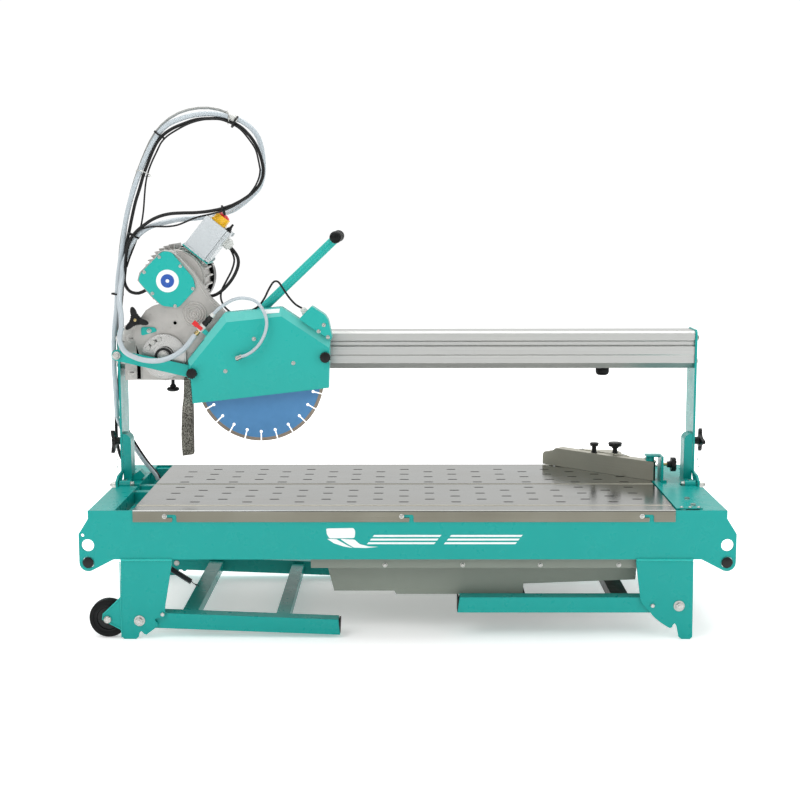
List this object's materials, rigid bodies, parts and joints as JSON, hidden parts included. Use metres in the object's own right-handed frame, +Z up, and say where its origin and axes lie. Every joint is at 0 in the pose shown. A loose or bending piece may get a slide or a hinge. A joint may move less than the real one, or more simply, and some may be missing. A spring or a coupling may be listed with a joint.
{
  "type": "slab saw",
  "caption": "Bridge saw for stone and tile slabs: slotted steel table on a folding base, water tray, rail that tilts, and a sliding head with a guarded blade.",
  "frame": {"origin": "on the floor, under the middle of the machine as it stands on its foot plates", "axes": "+X along the beam towards the fence, +Y from the operator to the back, +Z up"},
  "size_m": [1.676, 0.656, 1.3751],
  "materials": {
    "paint": "gloss",
    "stainless": "satin",
    "profile": "satin",
    "casting": "matte",
    "zinc_steel": "satin",
    "blade_steel": "satin",
    "tray_plastic": "matte",
    "light_plastic": "satin",
    "black_plastic": "satin",
    "red_plastic": "gloss",
    "rubber": "matte",
    "clear_hose": "gloss",
    "bristle": "matte"
  },
  "bodies": {
    "base": {"side_plate_front": "paint", "side_plate_rear": "paint", "foot_plate_front_left": "paint", "foot_plate_front_right": "paint", "foot_plate_rear_left": "paint", "foot_plate_rear_right": "paint", "end_rail_left": "paint", "end_rail_right": "paint", "table_frame": "paint", "table_panel_front": "stainless", "table_panel_rear": "stainless", "water_tray": "tray_plastic", "pump": "black_plastic", "carry_bar_left": "paint", "carry_bar_right": "paint", "tilt_bracket_left": "paint", "tilt_bracket_right": "paint", "fence_guide": "paint", "leg_spring": "zinc_steel"},
    "legs_left": {"legs_left": "paint"},
    "legs_right": {"legs_right": "paint"},
    "wheel_front": {"wheel_front": "rubber"},
    "wheel_rear": {"wheel_rear": "rubber"},
    "bridge": {"post_left": "paint", "post_right": "paint", "beam": "profile", "beam_stop": "rubber", "cable_rod": "zinc_steel", "supply_lead": "rubber"},
    "tilt_knob_left": {"tilt_knob_left": "black_plastic"},
    "tilt_knob_right": {"tilt_knob_right": "black_plastic"},
    "carriage": {"carriage_casting": "casting", "pivot_shaft": "zinc_steel"},
    "lock_knob": {"lock_knob": "black_plastic"},
    "head": {"arm_casting": "casting", "belt_cover": "paint", "drive_belt": "rubber", "push_handle": "paint", "motor_housing": "casting", "fan_cowl": "black_plastic", "switch_box": "light_plastic", "cable_loop": "rubber", "feed_hose": "clear_hose", "switch_cable": "rubber", "lamp_cable": "rubber"},
    "motor_rotor": {"motor_pulley": "zinc_steel"},
    "blade": {"blade": "blade_steel", "arbor": "zinc_steel"},
    "guard": {"guard_shell": "paint", "lamp_box": "paint", "splash_flap": "bristle", "valve_body": "light_plastic", "guard_hose": "clear_hose"},
    "guard_link": {"guard_link": "paint"},
    "valve_lever": {"valve_lever": "red_plastic"},
    "estop": {"estop_button": "red_plastic"},
    "depth_knob": {"depth_knob": "black_plastic"},
    "fence_carriage": {"fence_bracket": "paint"},
    "fence": {"fence_bar": "stainless"},
    "fence_knob": {"fence_knob": "black_plastic"}
  },
  "joints": [
    {"name": "legs_left_fold", "type": "hinge", "parent": "base", "child": "legs_left", "pos_m": [-0.688, 0, 0.0487], "axis": [0, 1, 0], "range_deg": [0, 95], "deforming": ["leg_spring"]},
    {"name": "legs_right_fold", "type": "hinge", "parent": "base", "child": "legs_right", "pos_m": [0.696, 0, 0.088], "axis": [0, -1, 0], "range_deg": [0, 95]},
    {"name": "wheel_front_spin", "type": "hinge", "parent": "base", "child": "wheel_front", "pos_m": [-0.77, -0.299, 0.052], "axis": [0, 1, 0], "continuous": true},
    {"name": "wheel_rear_spin", "type": "hinge", "parent": "base", "child": "wheel_rear", "pos_m": [-0.77, 0.299, 0.052], "axis": [0, 1, 0], "continuous": true},
    {"name": "bridge_tilt", "type": "hinge", "parent": "base", "child": "bridge", "pos_m": [0, 0.013, 0.338], "axis": [-1, 0, 0], "range_deg": [0, 45], "deforming": ["supply_lead"]},
    {"name": "tilt_knob_left_turn", "type": "hinge", "parent": "bridge", "child": "tilt_knob_left", "pos_m": [-0.8063, 0.1, 0.447], "axis": [1, 0, 0], "continuous": true},
    {"name": "tilt_knob_right_turn", "type": "hinge", "parent": "bridge", "child": "tilt_knob_right", "pos_m": [0.8063, 0.1, 0.447], "axis": [1, 0, 0], "continuous": true},
    {"name": "carriage_slide", "type": "slide", "parent": "bridge", "child": "carriage", "axis": [1, 0, 0], "range_m": [0, 0.96], "deforming": ["cable_loop"]},
    {"name": "lock_knob_turn", "type": "hinge", "parent": "carriage", "child": "lock_knob", "pos_m": [-0.656, 0.09, 0.611], "axis": [0, 0, 1], "continuous": true},
    {"name": "head_plunge", "type": "hinge", "parent": "carriage", "child": "head", "pos_m": [-0.666, 0, 0.696], "axis": [0, -1, 0], "range_deg": [-35, 5], "deforming": ["cable_loop", "feed_hose", "lamp_cable", "splash_flap"]},
    {"name": "blade_spin", "type": "hinge", "parent": "head", "child": "blade", "pos_m": [-0.4027, 0, 0.637], "axis": [0, 1, 0], "continuous": true},
    {"name": "motor_spin", "type": "hinge", "parent": "head", "child": "motor_rotor", "pos_m": [-0.636, 0, 0.906], "axis": [0, 1, 0], "continuous": true},
    {"name": "guard_level", "type": "hinge", "parent": "head", "child": "guard", "pos_m": [-0.4027, 0, 0.637], "axis": [0, -1, 0], "range_deg": [-5, 35]},
    {"name": "link_swing", "type": "hinge", "parent": "carriage", "child": "guard_link", "pos_m": [-0.791, 0, 0.701], "axis": [0, -1, 0], "range_deg": [-35, 5]},
    {"name": "valve_turn", "type": "hinge", "parent": "guard", "child": "valve_lever", "pos_m": [-0.5597, -0.019, 0.7755], "axis": [0, 1, 0], "range_deg": [0, 90]},
    {"name": "estop_press", "type": "slide", "parent": "head", "child": "estop", "axis": [-0.6252, 0, -0.7804], "range_m": [0, 0.004], "stiffness_N_per_m": 1500},
    {"name": "depth_knob_turn", "type": "hinge", "parent": "head", "child": "depth_knob", "pos_m": [-0.739, 0.0202, 0.797], "axis": [0, 1, 0], "continuous": true},
    {"name": "fence_slide", "type": "slide", "parent": "base", "child": "fence_carriage", "axis": [0, 1, 0], "range_m": [-0.3, 0.2]},
    {"name": "fence_angle", "type": "hinge", "parent": "fence_carriage", "child": "fence", "pos_m": [0.6815, 0.0774, 0.37], "axis": [0, 0, 1], "range_deg": [-40, 8]},
    {"name": "fence_knob_turn", "type": "hinge", "parent": "fence_carriage", "child": "fence_knob", "pos_m": [0.7123, 0.05, 0.388], "axis": [1, 0, 0], "continuous": true}
  ],
  "couplings": [
    {"joint": "motor_spin", "follows": "blade_spin", "ratio": 1},
    {"joint": "guard_level", "follows": "head_plunge", "ratio": -1},
    {"joint": "link_swing", "follows": "head_plunge", "ratio": 1}
  ]
}
